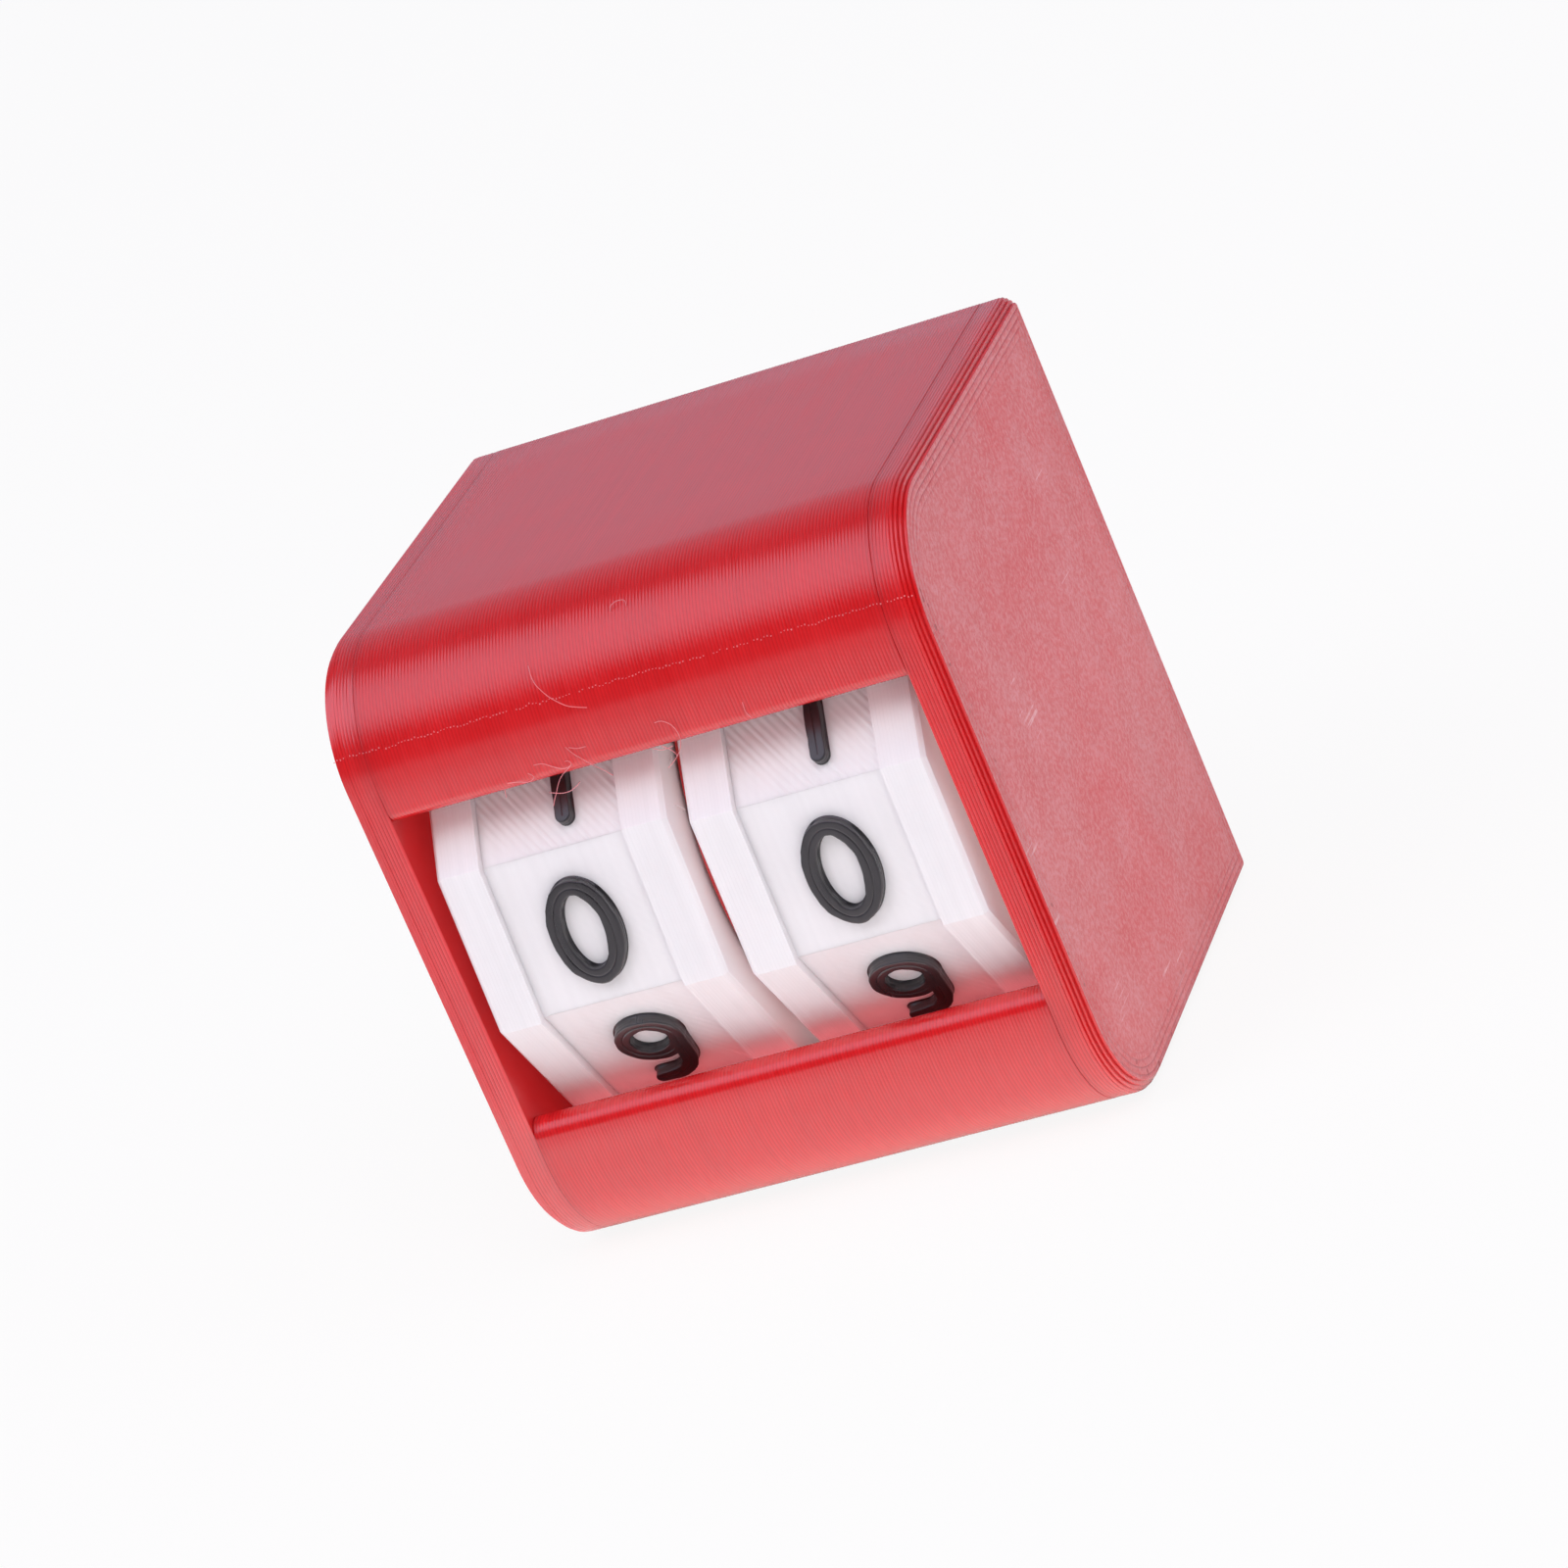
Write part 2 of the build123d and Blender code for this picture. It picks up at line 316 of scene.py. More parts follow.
def printed_plastic(name, colour, streak=0.04, gloss=0.17, shine=1.0, lines=0.0,
                    crease_shade=0.3, seed=0.0, depth=0.0, reach=(0.5, 0.45, 0.45), ior=1.5):
    """Filament print: colour and gloss drift a little, and each layer's crease gets painted
    shade.
    """
    material = bpy.data.materials.new(name)
    material.use_nodes = True
    tree = material.node_tree
    shader = tree.nodes["Principled BSDF"]
    looks = {"Specular IOR Level": shine, "IOR": ior}
    if depth:
        looks.update({"Subsurface Weight": depth, "Subsurface Radius": reach,
                      "Subsurface Scale": MM})
    for key, value in looks.items():
        shader.inputs[key].default_value = value
    add, calc = node_tools(tree)
    where = add("ShaderNodeTexCoord").outputs["Object"]
    along = add("ShaderNodeMapping", {
        "Vector": where, "Location": (seed, seed, seed), "Scale": LAYER_WAVES})
    layers = noise(add, along, 0.5, 1.0)
    drift = calc("ADD", layers, noise(add, where, CLOUD_WAVES, 3.0))
    shade = remap(add, drift, *DRIFT, 1.0 - streak, 1.0 + streak)
    x = add("ShaderNodeSeparateXYZ", {0: where}).outputs["X"]
    place = calc("FRACT", calc("MULTIPLY_ADD", x, 1 / (LAYER * MM), 0.5))
    edge = calc("ABSOLUTE", calc("MULTIPLY_ADD", place, 2.0, -1.0))
    groove = calc("POWER", edge, CREASE_POWER)
    # Painted shade: the colour is darkened in the crease between layers.
    shade = calc("MULTIPLY", shade, calc("MULTIPLY_ADD", groove, -crease_shade, 1.0))
    tint = vector(add, "SCALE", colour, shade)
    tree.links.new(tint.outputs[0], shader.inputs["Base Color"])
    rough = remap(add, drift, *DRIFT, gloss - GLOSS_DRIFT, gloss + GLOSS_DRIFT)
    tree.links.new(rough.outputs[0], shader.inputs["Roughness"])
    relief = add("ShaderNodeBump", {
        "Height": noise(add, where, SPECKLE_WAVES, 2.0), "Distance": SPECKLE_HEIGHT * MM,
        "Strength": 1.0})
    if lines:
        height = calc("MULTIPLY_ADD", groove, -1.0, layers)
        relief = add("ShaderNodeBump", {
            "Height": height, "Distance": lines * MM, "Strength": 1.0, "Normal": relief})
    tree.links.new(relief.outputs[0], shader.inputs["Normal"])
    return material


skin_tree = printed_skin_tree()
red_wrap = printed_plastic("printed_red", RED, depth=RED_DEPTH, reach=RED_REACH)
wrap = layered_print("wrap_skin", [
    (BOX_FRONT, WINDOW_HIGH, VISOR_RADIUS), (BOX_FRONT, BOX_TOP, FRONT_TOP_RADIUS),
    (BOX_BACK, BOX_TOP, BACK_RADIUS), (BOX_BACK, 0, BACK_RADIUS),
    (BOX_FRONT, 0, FRONT_LOW_RADIUS), (BOX_FRONT, WINDOW_LOW, LIP_FRONT_RADIUS),
    (BOX_FRONT + WALL, WINDOW_LOW, LIP_BACK_RADIUS),
    (BOX_FRONT + WALL, WALL, FRONT_LOW_RADIUS - WALL), (BOX_BACK - WALL, WALL, LEAST_RADIUS),
    (BOX_BACK - WALL, BOX_TOP - WALL, LEAST_RADIUS),
    (BOX_FRONT + WALL, BOX_TOP - WALL, FRONT_TOP_RADIUS - WALL),
    (BOX_FRONT + WALL, WINDOW_HIGH, VISOR_RADIUS),
], (-WRAP_END, round(2 * WRAP_END / LAYER)), {
    "Unevenness": 0.003, "Ripple": 0.008, "Ripple Size": 3.5 * MM, "Seed": 11,
    "Plastic": red_wrap})
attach(wrap, "housing")
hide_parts("shell")


# --------------------
# Axle and click disc. The axle is a D-shaped white rod keyed into both end plates, and the
# red disc on its middle parts the dials; its cut-free tongues click into the drums.
WHITE = (0.83, 0.822, 0.832)
white_rod = printed_plastic("printed_white_rod", WHITE, gloss=0.42, lines=0.006, seed=2.0)
red_disc = printed_plastic("printed_red_disc", RED, lines=0.012, seed=3.0)
dress(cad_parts["axle"], white_rod)
dress(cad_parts["click_disc"], red_disc)


# --------------------
# Dial drums. Two ten-sided white prints turn on the axle. Each has a proud rim at either
# side, and the layers of the rims run round the drum.
AXLE_Y, AXLE_Z = -2.25, 18.9936
DIAL_X = 7.6
DIAL_TURNS = {"left": 4.0, "right": 1.8}
white_drum = printed_plastic("printed_white", WHITE, streak=0.02, gloss=0.42, shine=0.6,
                             lines=0.006, crease_shade=0.03, seed=7.0, depth=0.5,
                             reach=(1.1, 1.0, 1.0))
for side in DIAL_TURNS:
    dress(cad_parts[f"{side}_dial_core"], white_drum)


# --------------------
# Tiles. Ten flat white tiles line each drum between its rims, edge to edge. A tile's face
# is filled with slanting strings of plastic, which stand out on some tiles and are
# pressed almost flat on others.
BAND_APOTHEM, BAND_WIDTH, TILE_THICKNESS = 13.9, 8.7, 1.2
FACET = 36.0
FILL_PITCH, FILL_STRINGS, FILL_SPARE = 0.41, 30, 1.04
FILL_COLUMNS, FILL_ROWS, BLOCK_DEPTH = 251, 14, 2.0
FILL_LEAN = math.radians(-54.2)
LEAST_STRING, MOST_STRING, SEED_SHIFT = 0.5, 1.1, 0.1
PRESS_WAVES, PRESS_RANGE, LEAST_PRESS = 240.0, (0.35, 0.6), 0.15
TILE_CREASE = math.radians(35)
FILL_HEIGHTS = (0.006, 0.05, 0.035, 0.02, 0.03, 0.015, 0.03, 0.04, 0.02, 0.012)


def tile_blank():
    """Plain tile lying face up, with its long edges cut to meet its neighbours."""
    half_angle = math.tan(math.radians(FACET / 2))
    half_width = BAND_WIDTH / 2
    mesh = bpy.data.meshes.new("tile_blank")
    corners = []
    for depth in (0.0, TILE_THICKNESS):
        half = (BAND_APOTHEM - depth) * half_angle
        corners += [(x * MM, v * MM, -depth * MM) for x, v in (
            (-half_width, -half), (half_width, -half), (half_width, half), (-half_width, half))]
    mesh.from_pydata(corners, [], [(0, 1, 2, 3), (7, 6, 5, 4), (0, 4, 5, 1), (1, 5, 6, 2),
                                   (2, 6, 7, 3), (3, 7, 4, 0)])
    return stand("tile_blank", mesh)


def filled_tile_tree():
    """Block with a face of side-by-side strings, cut to the shape of the blank tile."""
    tree, given, add, calc = new_tree("Filled tile", {
        "Blank": "Object", "Span": "Float", "Columns": "Int", "String Pitch": "Float",
        "String Height": "Float", "Lean": "Float", "Seed": "Int", "Plastic": "Material"})
    base = add("GeometryNodeMeshGrid", {
        "Size X": given["Span"], "Size Y": given["Span"], "Vertices X": given["Columns"],
        "Vertices Y": FILL_ROWS})
    sunk = add("GeometryNodeTransform", {
        "Geometry": base, "Translation": (0, 0, -BLOCK_DEPTH * MM)})
    raised = add("GeometryNodeExtrudeMesh", {
        "Mesh": sunk, "Offset": (0, 0, 1), "Offset Scale": BLOCK_DEPTH * MM,
        "Individual": False})
    place = add("GeometryNodeInputPosition")
    across = add("ShaderNodeSeparateXYZ", {0: place}).outputs["X"]
    count = calc("DIVIDE", across, given["String Pitch"])
    own = add("FunctionNodeRandomValue", {
        2: LEAST_STRING, 3: MOST_STRING, "ID": calc("ROUND", count),
        "Seed": given["Seed"]}, data_type="FLOAT")
    dip = calc("COSINE", calc("MULTIPLY", count, 2 * math.pi))
    dip = calc("MULTIPLY_ADD", dip, -0.5, 0.5)
    shifted = vector(add, "ADD", place, calc("MULTIPLY", given["Seed"], SEED_SHIFT))
    press = remap(add, noise(add, shifted, PRESS_WAVES, 1.0), *PRESS_RANGE, LEAST_PRESS)
    depth = calc("MULTIPLY", calc("MULTIPLY", dip, own),
                 calc("MULTIPLY", press, given["String Height"]))
    fall = add("ShaderNodeCombineXYZ", {2: calc("MULTIPLY", depth, -1.0)})
    face = add("GeometryNodeSetPosition", {
        "Geometry": raised.outputs["Mesh"], "Selection": raised.outputs["Top"], "Offset": fall})
    foot = add("GeometryNodeFlipFaces", {"Mesh": sunk})
    block = add("GeometryNodeJoinGeometry", {"Geometry": face})
    tree.links.new(foot.outputs[0], block.inputs[0])
    block = add("GeometryNodeMergeByDistance", {
        "Geometry": block, "Distance": MERGE_DISTANCE})
    turned = add("GeometryNodeTransform", {"Geometry": block})
    tree.links.new(add("ShaderNodeCombineXYZ", {2: given["Lean"]}).outputs[0],
                   turned.inputs["Rotation"])
    cut = add("GeometryNodeMeshBoolean", {"Mesh 2": turned}, operation="INTERSECT",
              solver="EXACT")
    tree.links.new(shape_of(add, given["Blank"]), cut.inputs["Mesh 2"])
    end_tree(given, add, cut.outputs["Mesh"])
    return tree


def dial_place(side, number, across=0.0, up=0.0):
    """Where a facet's own plane (right, up, out) lies on its dial."""
    lay = Matrix(((1, 0, 0, across * MM), (0, 0, -1, -BAND_APOTHEM * MM),
                  (0, 1, 0, up * MM), (0, 0, 0, 1)))
    swing = Matrix.Rotation(-math.radians(DIAL_TURNS[side] + FACET * number), 4, "X")
    hub = Vector((DIAL_X if side == "right" else -DIAL_X, AXLE_Y, AXLE_Z)) * MM
    return Matrix.Translation(hub) @ swing @ lay


def twin(made, name, place):
    """Copy of a piece that was made lying flat, stood in its place."""
    copied = stand(name, made.data.copy())
    copied.data.transform(place)
    return copied


white_tile = printed_plastic("printed_white_tile", WHITE, streak=0.02, gloss=0.38, shine=0.6,
                             crease_shade=0.0, seed=10.0, depth=0.3)
blank = tile_blank()
tile_tree = filled_tile_tree()
for number, height in enumerate(FILL_HEIGHTS):
    face = settle(f"tile_face_{number}", tile_tree, {
        "Blank": blank, "Span": FILL_STRINGS * FILL_PITCH * MM * FILL_SPARE,
        "Columns": FILL_COLUMNS, "String Pitch": FILL_PITCH * MM,
        "String Height": height * MM, "Lean": FILL_LEAN + math.pi / 2,
        "Seed": number, "Plastic": white_tile})
    face.data.set_sharp_from_angle(angle=TILE_CREASE)
    for side in DIAL_TURNS:
        tile = twin(face, f"{side}_tile_face_{number}", dial_place(side, number))
        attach(tile, f"{side}_dial")
        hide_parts(f"{side}_tile_{number}")
    drop(face)
drop(blank)


# --------------------
# Digits. Each is laid on its tile in black plastic, three layers high, as two beads side
# by side that leave a fine groove between them and end in a round.
BLACK = (0.020, 0.0185, 0.0205)
HALF_STROKE = 0.475
DIGIT_WIDTH, DIGIT_HEIGHT = 4.18, 6.2
DIGIT_SHIFT, DIGIT_DROP = 0.08, 0.3
BEAD_LIFT, BEAD_STEP = 0.002, 0.3
ARC_STEP, GENTLE_TURN, FAN_STEP = 9, 14, 15
OVAL_POINTS, CAP_STEPS = 64, 10
DIGIT_CREASE, SAME_PLACE = math.radians(60), 1e-4
BEAD_PROFILE = (
    (0.520, 0.0, 0), (0.535, 0.05, 0), (0.535, 0.15, 0), (0.512, 0.2, 0), (0.535, 0.25, 1),
    (0.535, 0.35, 1), (0.512, 0.4, 1), (0.535, 0.45, 2), (0.528, 0.53, 2), (0.505, 0.575, 2),
    (0.460, 0.596, 2), (0.400, 0.600, 2), (0.120, 0.600, 2), (0.055, 0.598, 2),
    (0.022, 0.585, 2), (0.0, 0.568, 2))


def bead_rows(open_stroke):
    """Rows from a bead pair's foot over its top: to the middle, or to the other foot."""
    profile = list(BEAD_PROFILE)
    if open_stroke:
        profile = [(0.0, 0.0, 0)] + profile
    else:
        profile += [(-r, z, layer) for r, z, layer in reversed(BEAD_PROFILE[:-1])]
        profile.append(BEAD_PROFILE[0])
    rows = [{"reach": r, "loose": 0.0 if z == 0 else r / HALF_STROKE,
             "layer": layer} for r, z, layer in profile]
    return guide_object("bead_rows", [(0, 0, z) for r, z, layer in profile], rows=rows)


def bend(centre, radius, start, turn):
    """Points along an arc, in degrees from +x."""
    steps = max(2, round(abs(turn) / ARC_STEP))
    return [(centre[0] + radius * math.cos(math.radians(start + turn * k / steps)),
             centre[1] + radius * math.sin(math.radians(start + turn * k / steps)))
            for k in range(steps + 1)]


def bend_through(first, middle, last):
    """Arc through three points."""
    (ax, ay), (bx, by), (cx, cy) = first, middle, last
    d = 2 * (ax * (by - cy) + bx * (cy - ay) + cx * (ay - by))
    a, b, c = ax * ax + ay * ay, bx * bx + by * by, cx * cx + cy * cy
    centre = ((a * (by - cy) + b * (cy - ay) + c * (ay - by)) / d,
              (a * (cx - bx) + b * (ax - cx) + c * (bx - ax)) / d)
    angles = [math.degrees(math.atan2(p[1] - centre[1], p[0] - centre[0]))
              for p in (first, middle, last)]
    turn = (angles[2] - angles[0]) % 360
    if (angles[1] - angles[0]) % 360 > turn:
        turn -= 360
    return bend(centre, math.dist(first, centre), angles[0], turn)


def oval(centre_up, half_width, half_height, shift=0.0):
    """Closed oval: points on its middle line, with arrows for both edges."""
    angles = [2 * math.pi * k / OVAL_POINTS for k in range(OVAL_POINTS)]
    return ([(shift + half_width * math.cos(t), centre_up + half_height * math.sin(t))
             for t in angles], [(math.cos(t), math.sin(t)) for t in angles])


def stroke_outline(line):
    """Round-ended outline of an open line: points on the line, with arrows to the edge."""
    points = [Vector(line[0])]
    for goal in (Vector(p) for p in line[1:]):
        run = (goal - points[-1]).length
        if run < SAME_PLACE:
            continue
        steps = max(1, round(run / BEAD_STEP))
        start = points[-1].copy()
        points += [start.lerp(goal, k / steps) for k in range(1, steps + 1)]
    ways = [(b - a).normalized() for a, b in zip(points, points[1:])]
    sides = []
    for hand in (1, -1):
        side, hidden = [], []
        for i, here in enumerate(points):
            before, after = ways[max(i - 1, 0)], ways[min(i, len(ways) - 1)]
            turn = math.atan2(before.cross(after), before.dot(after))
            arrow = Vector((-before.y, before.x)) * hand
            if abs(turn) < math.radians(GENTLE_TURN):
                side.append((here, Matrix.Rotation(turn / 2, 2) @ arrow))
            elif turn * hand < 0:
                fan = max(2, round(abs(math.degrees(turn)) / FAN_STEP))
                side += [(here, Matrix.Rotation(turn * k / fan, 2) @ arrow)
                         for k in range(fan + 1)]
            else:
                mitre = (Matrix.Rotation(turn / 2, 2) @ arrow) / math.cos(turn / 2)
                side.append((here, mitre))
                hidden.append((here, HALF_STROKE * math.tan(abs(turn) / 2)))
        sides.append([(p, a) for p, a in side if not any(
            0 < (p - corner).length < room for corner, room in hidden)])
    caps = []
    for end, way in ((points[-1], ways[-1]), (points[0], -ways[0])):
        arrow = Vector((-way.y, way.x))
        caps.append([(end, Matrix.Rotation(-math.pi * k / CAP_STEPS, 2) @ arrow)
                     for k in range(1, CAP_STEPS)])
    ring = sides[0] + caps[0] + sides[1][::-1] + caps[1]
    return [p for p, a in ring], [a for p, a in ring]


def digit_strokes(number):
    """The beads of one digit, (closed, points, arrows) for each, in shares of w and h."""
    w, h = DIGIT_WIDTH / 2 - HALF_STROKE, DIGIT_HEIGHT / 2 - HALF_STROKE
    ovals = {0: [(0, w, h)], 8: [(0.52 * h, 0.8 * w, 0.48 * h), (-0.48 * h, w, 0.52 * h)],
             9: [(0.34 * h, 0.58 * h, 0.57 * h, 0.03 * w)]}
    stem = Vector((0.03 * w + 0.57 * h, 0.34 * h)), Vector((0.78 * w, -0.55 * h))
    way = (stem[1] - stem[0]).normalized()
    hook = stem[1] + Vector((way.y, -way.x)) * 0.55 * h
    start = math.degrees(math.atan2(stem[1].y - hook.y, stem[1].x - hook.x))
    foot = bend(hook, 0.55 * h, start, -90 - start)
    lines = {
        1: [[(-0.35 * w, 0.55 * h), (0.58 * w, h), (0.58 * w, -h)]],
        2: [bend_through((-w, 0.45 * h), (0.05 * w, h), (0.85 * w, 0.15 * h))
            + [(-w, -h), (w, -h)]],
        3: [bend((0, 0.54 * h), 0.46 * h, 160, -250), bend((0, -0.46 * h), 0.54 * h, 90, -250)],
        4: [[(0.45 * w, h), (0.45 * w, -h)], [(0.45 * w, h), (-w, -0.4 * h), (w, -0.4 * h)]],
        5: [[(0.85 * w, h), (-0.7 * w, h), (-0.85 * w, 0.1 * h)],
            bend_through((-0.85 * w, 0.1 * h), (w, -0.35 * h), (-w, -0.75 * h))],
        7: [[(-w, h), (w, h), (-0.3 * w, -h)]],
        9: [[tuple(stem[0])] + foot + [(-0.6 * w, foot[-1][1])]]}
    if number == 6:
        return [(closed, [(-p[0], -p[1]) for p in points], [(-a[0], -a[1]) for a in arrows])
                for closed, points, arrows in digit_strokes(9)]
    strokes = [(True, *oval(*sizes)) for sizes in ovals.get(number, [])]
    return strokes + [(False, *stroke_outline(line)) for line in lines.get(number, [])]


def fuse(first, second, operation="UNION"):
    """Joins a closed piece to another, or cuts it out of it."""
    step = first.modifiers.new("fuse", "BOOLEAN")
    step.operation, step.solver, step.object = operation, "EXACT", second
    freeze(first)
    drop(second)


black_bead = printed_plastic("printed_black", BLACK, streak=0.25, gloss=0.3, crease_shade=0.0,
                             seed=21.0)
rows_open, rows_closed = bead_rows(True), bead_rows(False)
for number in range(10):
    beads = []
    for closed, points, arrows in digit_strokes(number):
        line = guide_object("bead_line", [(p[0], p[1], BEAD_LIFT * len(beads)) for p in points],
                            arrows=[(a[0], a[1], 0) for a in arrows])
        bead = settle(f"bead_{number}", skin_tree, {
            "Outline": line, "Rows": rows_closed if closed else rows_open,
            "Unevenness": 0.02, "Ripple": 0.26, "Ripple Size": 1.1 * MM,
            "Seed": 30 + number, "Plastic": black_bead})
        close_ends(bead)
        drop(line)
        beads.append(bead)
    digit = beads[0]
    for bead in beads[1:]:
        fuse(digit, bead)
    digit.data.set_sharp_from_angle(angle=DIGIT_CREASE)
    for side in DIAL_TURNS:
        stroke = twin(digit, f"{side}_bead_{number}",
                      dial_place(side, number, DIGIT_SHIFT, -DIGIT_DROP))
        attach(stroke, f"{side}_dial")
        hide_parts(f"{side}_digit_{number}")
    drop(digit)
drop(rows_open, rows_closed)


# --------------------
# End plates. Each is a red print that lay with its outer face on the print bed. Ten
# layers make the plate, with a bevelled rim; a rib and a boss for the axle stand inside.
PLATE_LAYERS = 10
BEVEL_STEPS = ((0.0, 0.023), (0.02, 0.030), (0.12, 0.029), (0.30, 0.027), (0.50, 0.025))
RIB_OUT, RIB_IN, RIB_FRONT, RIB_DEPTH, ROOT_DEPTH = 1.7, 2.7, -8.4936, 1.5, 0.5
BOSS_RADIUS, BOSS_HEIGHT = 5.5, 0.7
SOCKET_RADIUS, SOCKET_FLAT, SOCKET_DEPTH = 3.05, 2.25, 1.7
BED_RED, FROST, PIT_RED = (0.58, 0.018, 0.024), (0.9, 0.72, 0.74, 1), (0.40, 0.010, 0.015, 1)
RING_PITCH, RING_START, RING_END, RING_SHARPNESS = 0.42, 1.4, 2.6, 0.35
GRAIN_WAVES, PATCH_WAVES, PIT_WAVES = 4600.0, 170.0, 2200.0
SCRATCH_LEAN, SCRATCH_WAVES = math.radians(-62), (100.0, 140.0, 5200.0)
SCRATCH_RANGE, SCRATCHED, HAZE_RANGE = (0.66, 0.70), (0.60, 0.66), (0.35, 0.65)
FROST_RANGE, DOT_RANGE, PIT_RANGE = (0.38, 0.66), (0.50, 0.54), (0.76, 0.80)
HAZE_SHARE, FROST_SHARE, SCRATCH_SHARE, RING_SHARE = 0.08, 0.16, 0.3, 0.45
RING_RELIEF, BED_RELIEF, BED_MARGIN, CUT_SPARE = 1.5, 0.05, 0.01, 1
PLATE_INDEX = {"left": 1.61, "right": 1.5}
PLATE_CREASE = math.radians(40)


def plain_bar(name, points, first, last):
    """Closed bar between two X places from a (y, z) outline."""
    work = bmesh.new()
    low = [work.verts.new((first * MM, y * MM, z * MM)) for y, z in points]
    high = [work.verts.new((last * MM, y * MM, z * MM)) for y, z in points]
    for i in range(len(points)):
        j = (i + 1) % len(points)
        work.faces.new((low[i], low[j], high[j], high[i]))
    work.faces.new(low)
    work.faces.new(high)
    bmesh.ops.recalc_face_normals(work, faces=work.faces)
    mesh = bpy.data.meshes.new(name)
    work.to_mesh(mesh)
    work.free()
    return stand(name, mesh)


def round_points(radius, flat=None, count=72):
    """Circle round the axle, cut by a flat at the back where one is given."""
    points = []
    for k in range(count):
        y, z = (radius * f(2 * math.pi * k / count) for f in (math.cos, math.sin))
        points.append((AXLE_Y + (min(y, flat) if flat else y), AXLE_Z + z))
    return points


def bed_side_plastic():
    """Red print as it leaves the bed: matte, mottled, with rings beside its rim."""
    material = printed_plastic("printed_red_bed_side", BED_RED, streak=0.05, gloss=0.5,
                               crease_shade=0.0, seed=9.0)
    tree = material.node_tree
    shader = tree.nodes["Principled BSDF"]
    add, calc = node_tools(tree)
    where = add("ShaderNodeTexCoord").outputs["Object"]
    split = add("ShaderNodeSeparateXYZ", {0: where})
    across = calc("ABSOLUTE", split.outputs["Y"])
    tall = calc("ABSOLUTE", calc("ADD", split.outputs["Z"], -BOX_TOP / 2 * MM))
    front = calc("LESS_THAN", split.outputs["Y"], 0.0)
    front_radius = (FRONT_TOP_RADIUS + FRONT_LOW_RADIUS) / 2
    radius = calc("MULTIPLY_ADD", front, (front_radius - BACK_RADIUS) * MM, BACK_RADIUS * MM)
    out_y = calc("ADD", calc("ADD", across, BOX_FRONT * MM), radius)
    out_z = calc("ADD", calc("ADD", tall, -BOX_TOP / 2 * MM), radius)
    corner = add("ShaderNodeCombineXYZ", {
        0: calc("MAXIMUM", out_y, 0.0), 1: calc("MAXIMUM", out_z, 0.0)})
    reach = add("ShaderNodeVectorMath", {0: corner}, operation="LENGTH")
    inner = calc("MINIMUM", calc("MAXIMUM", out_y, out_z), 0.0)
    inset = calc("SUBTRACT", calc("SUBTRACT", radius, reach), inner)
    near_rim = remap(add, inset, RING_START * MM, RING_END * MM, 1.0, 0.0)
    ring = calc("MULTIPLY", inset, 1 / (RING_PITCH * MM))
    ring = calc("ABSOLUTE", calc("SINE", calc("MULTIPLY", ring, math.pi)))
    ring = calc("POWER", ring, RING_SHARPNESS)
    ring = calc("MULTIPLY", calc("SUBTRACT", ring, 1.0), near_rim)
    grain = noise(add, where, GRAIN_WAVES, 4.0)
    patch = noise(add, where, PATCH_WAVES, 5.0, Distortion=0.4)
    lean = add("ShaderNodeMapping", {
        "Vector": where, "Rotation": (SCRATCH_LEAN, 0, 0), "Scale": SCRATCH_WAVES})
    scratch = remap(add, noise(add, lean, 1.0, 1.0), *SCRATCH_RANGE)
    scratch = calc("MULTIPLY", scratch, remap(add, patch, *SCRATCHED))
    old = shader.inputs["Base Color"].links[0].from_socket
    haze = remap(add, patch, *HAZE_RANGE, 0.0, HAZE_SHARE)
    frost = remap(add, grain, *FROST_RANGE, 0.0, FROST_SHARE)
    haze = calc("ADD", calc("ADD", haze, frost), calc("MULTIPLY", scratch, SCRATCH_SHARE))
    pale = blend(add, haze, old, FROST)
    dots = remap(add, grain, *DOT_RANGE)
    pits = remap(add, noise(add, where, PIT_WAVES, 0.0), *PIT_RANGE)
    pits = calc("MULTIPLY", calc("MULTIPLY", pits, near_rim), front)
    marks = calc("MAXIMUM", pits, calc("MULTIPLY", calc("MULTIPLY", ring, dots), -RING_SHARE))
    tree.links.new(blend(add, marks, pale, PIT_RED), shader.inputs["Base Color"])
    height = calc("MULTIPLY_ADD", ring, RING_RELIEF, grain)
    relief = add("ShaderNodeBump", {
        "Height": height, "Distance": BED_RELIEF * MM, "Strength": 1.0})
    tree.links.new(relief.outputs[0], shader.inputs["Normal"])
    return material


